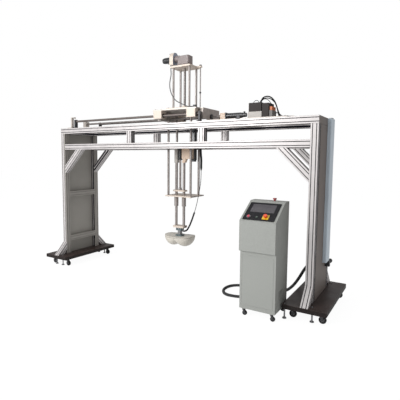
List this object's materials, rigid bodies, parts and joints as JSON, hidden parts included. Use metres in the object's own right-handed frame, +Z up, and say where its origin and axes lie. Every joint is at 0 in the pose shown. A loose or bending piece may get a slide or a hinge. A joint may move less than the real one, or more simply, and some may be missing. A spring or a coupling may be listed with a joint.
{
  "type": "mattress compression tester",
  "caption": "Gantry test machine that presses a two-lobed loading body into a mattress from a motorised carriage, with lift tower, load cell and a free-standing control console.",
  "frame": {"origin": "floor level under the middle of the overall footprint", "axes": "+X along the bridge to the console side, +Y away from the operator, +Z up"},
  "size_m": [4.12, 1.225, 2.976],
  "materials": {
    "slotted_aluminium": "anodised extrusion",
    "panel_grey": "satin grey paint",
    "plate_black": "black powder coat",
    "zinc_steel": "zinc plated",
    "ground_steel": "ground and hard chromed",
    "bracket_aluminium": "milled",
    "black_steel": "black oxide",
    "cream_metal": "satin cream",
    "dark_plate": "dark ground plate",
    "light_paint": "satin light grey",
    "module_plastic": "moulded",
    "servo_black": "gloss black",
    "cable_black": "matt jacket",
    "cable_grey": "matt jacket",
    "hose_grey": "corrugated conduit",
    "console_paint": "fine texture paint",
    "bezel_black": "matt",
    "screen_grey": "gloss",
    "button_pink": "gloss",
    "button_red": "gloss",
    "body_white": "smooth moulding",
    "tyre_black": "solid tyre"
  },
  "bodies": {
    "gantry": {"bridge_frame": "slotted_aluminium", "leg_frames": "slotted_aluminium", "frame_braces": "slotted_aluminium", "side_panels": "panel_grey", "base_plates": "plate_black", "floor_fittings": "zinc_steel", "guide_shafts": "ground_steel", "bridge_brackets": "bracket_aluminium", "x_servo_motor": "servo_black", "control_modules": "module_plastic", "module_cable": "cable_black", "hose": "hose_grey", "hose_glands": "black_steel", "console_housing": "console_paint", "console_bezel": "bezel_black", "console_screen": "screen_grey"},
    "x_screw": {"x_lead_screw": "ground_steel"},
    "carriage": {"carriage_frame": "bracket_aluminium", "carriage_bearings": "cream_metal", "lift_tower": "ground_steel", "lift_gearmotor": "light_paint", "lift_motor_cable": "cable_grey"},
    "lift_screw": {"lift_lead_screw": "ground_steel"},
    "lift": {"lift_plates": "dark_plate", "lift_rods": "ground_steel", "press_guides": "light_paint", "press_cylinder": "servo_black", "press_servo_motor": "servo_black", "cable_bundle": "cable_black"},
    "press": {"press_frame": "ground_steel", "load_cell": "zinc_steel", "loading_body": "body_white", "load_cell_cable": "cable_black"},
    "start_button": {"push_button": "button_pink"},
    "stop_button": {"emergency_stop": "button_red"},
    "desk_button": {"top_button": "button_red"},
    "gantry_fork_1_body": {"gantry_fork_1": "zinc_steel"},
    "gantry_wheel_1_body": {"gantry_wheel_1": "tyre_black"},
    "gantry_fork_2_body": {"gantry_fork_2": "zinc_steel"},
    "gantry_wheel_2_body": {"gantry_wheel_2": "tyre_black"},
    "gantry_fork_3_body": {"gantry_fork_3": "zinc_steel"},
    "gantry_wheel_3_body": {"gantry_wheel_3": "tyre_black"},
    "gantry_fork_4_body": {"gantry_fork_4": "zinc_steel"},
    "gantry_wheel_4_body": {"gantry_wheel_4": "tyre_black"},
    "gantry_fork_5_body": {"gantry_fork_5": "zinc_steel"},
    "gantry_wheel_5_body": {"gantry_wheel_5": "tyre_black"},
    "gantry_fork_6_body": {"gantry_fork_6": "zinc_steel"},
    "gantry_wheel_6_body": {"gantry_wheel_6": "tyre_black"},
    "gantry_fork_7_body": {"gantry_fork_7": "zinc_steel"},
    "gantry_wheel_7_body": {"gantry_wheel_7": "tyre_black"},
    "gantry_fork_8_body": {"gantry_fork_8": "zinc_steel"},
    "gantry_wheel_8_body": {"gantry_wheel_8": "tyre_black"},
    "console_fork_1_body": {"console_fork_1": "zinc_steel"},
    "console_wheel_1_body": {"console_wheel_1": "tyre_black"},
    "console_fork_2_body": {"console_fork_2": "zinc_steel"},
    "console_wheel_2_body": {"console_wheel_2": "tyre_black"},
    "console_fork_3_body": {"console_fork_3": "zinc_steel"},
    "console_wheel_3_body": {"console_wheel_3": "tyre_black"},
    "console_fork_4_body": {"console_fork_4": "zinc_steel"},
    "console_wheel_4_body": {"console_wheel_4": "tyre_black"}
  },
  "joints": [
    {"name": "carriage_slide", "type": "slide", "parent": "gantry", "child": "carriage", "axis": [1, 0, 0], "range_m": [-1.38, 0.02]},
    {"name": "x_screw_turn", "type": "hinge", "parent": "gantry", "child": "x_screw", "pos_m": [0, 0.0925, 2.13], "axis": [1, 0, 0], "continuous": true},
    {"name": "lift_slide", "type": "slide", "parent": "carriage", "child": "lift", "axis": [0, 0, 1], "range_m": [0, 0.18]},
    {"name": "lift_screw_turn", "type": "hinge", "parent": "carriage", "child": "lift_screw", "pos_m": [0.112, 0.0925, 2.5], "axis": [0, 0, 1], "continuous": true},
    {"name": "press_slide", "type": "slide", "parent": "lift", "child": "press", "axis": [0, 0, 1], "range_m": [-0.04, 0.17], "deforming": ["load_cell_cable"]},
    {"name": "start_button_press", "type": "slide", "parent": "gantry", "child": "start_button", "axis": [0, 0.5345, -0.8452], "range_m": [0, 0.004], "stiffness_N_per_m": 400},
    {"name": "stop_button_press", "type": "slide", "parent": "gantry", "child": "stop_button", "axis": [0, 0.5345, -0.8452], "range_m": [0, 0.006], "stiffness_N_per_m": 500},
    {"name": "desk_button_press", "type": "slide", "parent": "gantry", "child": "desk_button", "axis": [0, 0, -1], "range_m": [0, 0.005], "stiffness_N_per_m": 400},
    {"name": "gantry_swivel_1", "type": "hinge", "parent": "gantry", "child": "gantry_fork_1_body", "pos_m": [-1.986, -0.3255, 0.08], "axis": [0, 0, 1], "continuous": true},
    {"name": "gantry_roll_1", "type": "hinge", "parent": "gantry_fork_1_body", "child": "gantry_wheel_1_body", "pos_m": [-1.968, -0.3255, 0.0385], "axis": [0, 1, 0], "continuous": true},
    {"name": "gantry_swivel_2", "type": "hinge", "parent": "gantry", "child": "gantry_fork_2_body", "pos_m": [-1.986, 0.5105, 0.08], "axis": [0, 0, 1], "continuous": true},
    {"name": "gantry_roll_2", "type": "hinge", "parent": "gantry_fork_2_body", "child": "gantry_wheel_2_body", "pos_m": [-1.968, 0.5105, 0.0385], "axis": [0, 1, 0], "continuous": true},
    {"name": "gantry_swivel_3", "type": "hinge", "parent": "gantry", "child": "gantry_fork_3_body", "pos_m": [-1.694, -0.3255, 0.08], "axis": [0, 0, 1], "continuous": true},
    {"name": "gantry_roll_3", "type": "hinge", "parent": "gantry_fork_3_body", "child": "gantry_wheel_3_body", "pos_m": [-1.676, -0.3255, 0.0385], "axis": [0, 1, 0], "continuous": true},
    {"name": "gantry_swivel_4", "type": "hinge", "parent": "gantry", "child": "gantry_fork_4_body", "pos_m": [-1.694, 0.5105, 0.08], "axis": [0, 0, 1], "continuous": true},
    {"name": "gantry_roll_4", "type": "hinge", "parent": "gantry_fork_4_body", "child": "gantry_wheel_4_body", "pos_m": [-1.676, 0.5105, 0.0385], "axis": [0, 1, 0], "continuous": true},
    {"name": "gantry_swivel_5", "type": "hinge", "parent": "gantry", "child": "gantry_fork_5_body", "pos_m": [1.694, -0.3255, 0.08], "axis": [0, 0, 1], "continuous": true},
    {"name": "gantry_roll_5", "type": "hinge", "parent": "gantry_fork_5_body", "child": "gantry_wheel_5_body", "pos_m": [1.712, -0.3255, 0.0385], "axis": [0, 1, 0], "continuous": true},
    {"name": "gantry_swivel_6", "type": "hinge", "parent": "gantry", "child": "gantry_fork_6_body", "pos_m": [1.694, 0.5105, 0.08], "axis": [0, 0, 1], "continuous": true},
    {"name": "gantry_roll_6", "type": "hinge", "parent": "gantry_fork_6_body", "child": "gantry_wheel_6_body", "pos_m": [1.712, 0.5105, 0.0385], "axis": [0, 1, 0], "continuous": true},
    {"name": "gantry_swivel_7", "type": "hinge", "parent": "gantry", "child": "gantry_fork_7_body", "pos_m": [1.986, -0.3255, 0.08], "axis": [0, 0, 1], "continuous": true},
    {"name": "gantry_roll_7", "type": "hinge", "parent": "gantry_fork_7_body", "child": "gantry_wheel_7_body", "pos_m": [2.004, -0.3255, 0.0385], "axis": [0, 1, 0], "continuous": true},
    {"name": "gantry_swivel_8", "type": "hinge", "parent": "gantry", "child": "gantry_fork_8_body", "pos_m": [1.986, 0.5105, 0.08], "axis": [0, 0, 1], "continuous": true},
    {"name": "gantry_roll_8", "type": "hinge", "parent": "gantry_fork_8_body", "child": "gantry_wheel_8_body", "pos_m": [2.004, 0.5105, 0.0385], "axis": [0, 1, 0], "continuous": true},
    {"name": "console_swivel_1", "type": "hinge", "parent": "gantry", "child": "console_fork_1_body", "pos_m": [1.262, -0.5495, 0.08], "axis": [0, 0, 1], "continuous": true},
    {"name": "console_roll_1", "type": "hinge", "parent": "console_fork_1_body", "child": "console_wheel_1_body", "pos_m": [1.274, -0.5495, 0.026], "axis": [0, 1, 0], "continuous": true},
    {"name": "console_swivel_2", "type": "hinge", "parent": "gantry", "child": "console_fork_2_body", "pos_m": [1.262, -0.2335, 0.08], "axis": [0, 0, 1], "continuous": true},
    {"name": "console_roll_2", "type": "hinge", "parent": "console_fork_2_body", "child": "console_wheel_2_body", "pos_m": [1.274, -0.2335, 0.026], "axis": [0, 1, 0], "continuous": true},
    {"name": "console_swivel_3", "type": "hinge", "parent": "gantry", "child": "console_fork_3_body", "pos_m": [1.562, -0.5495, 0.08], "axis": [0, 0, 1], "continuous": true},
    {"name": "console_roll_3", "type": "hinge", "parent": "console_fork_3_body", "child": "console_wheel_3_body", "pos_m": [1.574, -0.5495, 0.026], "axis": [0, 1, 0], "continuous": true},
    {"name": "console_swivel_4", "type": "hinge", "parent": "gantry", "child": "console_fork_4_body", "pos_m": [1.562, -0.2335, 0.08], "axis": [0, 0, 1], "continuous": true},
    {"name": "console_roll_4", "type": "hinge", "parent": "console_fork_4_body", "child": "console_wheel_4_body", "pos_m": [1.574, -0.2335, 0.026], "axis": [0, 1, 0], "continuous": true}
  ],
  "couplings": [
    {"joint": "x_screw_turn", "follows": "carriage_slide", "rad_per_m": 314.16},
    {"joint": "lift_screw_turn", "follows": "lift_slide", "rad_per_m": 314.16}
  ]
}
